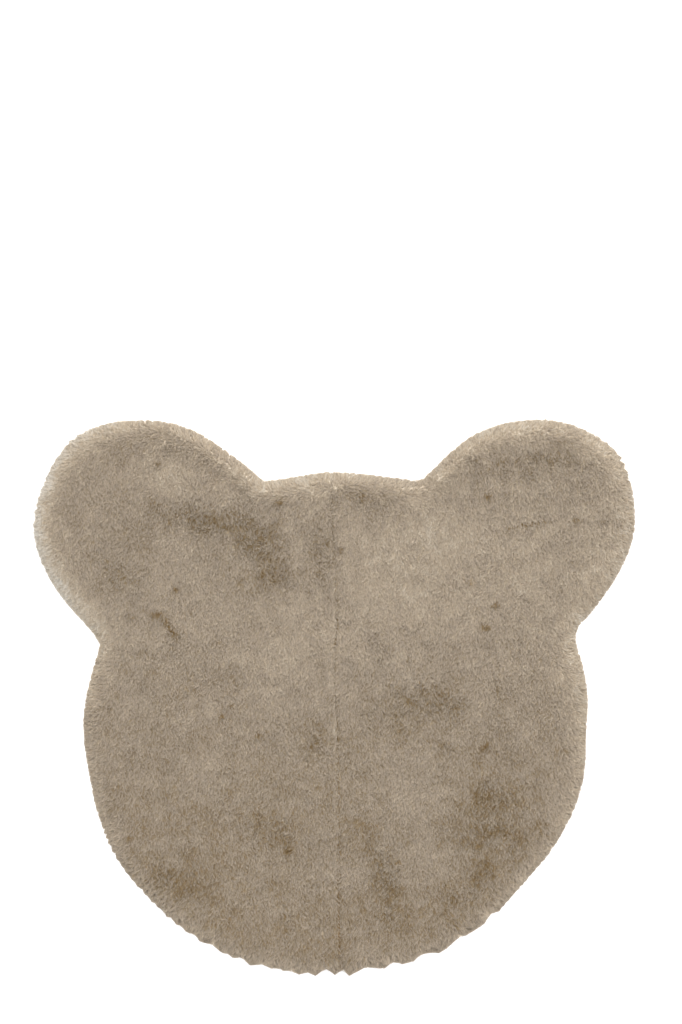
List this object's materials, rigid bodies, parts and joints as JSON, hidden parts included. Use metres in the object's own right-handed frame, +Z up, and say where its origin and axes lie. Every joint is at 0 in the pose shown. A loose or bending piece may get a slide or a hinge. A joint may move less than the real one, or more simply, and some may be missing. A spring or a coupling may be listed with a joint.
{
  "type": "bear shaped kids rug",
  "caption": "Flat faux-fur floor rug in the outline of a bear's head with round ears, sewn from half panels along a middle seam.",
  "frame": {"origin": "on the floor, below the middle of the rug's box", "axes": "+X to the right ear as seen from above, +Y from the chin to the ears, +Z up out of the pile"},
  "size_m": [0.9074, 0.838, 0.0225],
  "materials": {
    "fur": "deep greige faux fur, matt, with darker places where the pile is brushed up and a paler rim",
    "backing": "plain warp-knitted backing of the fur, seen from below"
  },
  "bodies": {
    "root": {"panel_left": "fur", "panel_right": "fur"}
  },
  "joints": []
}
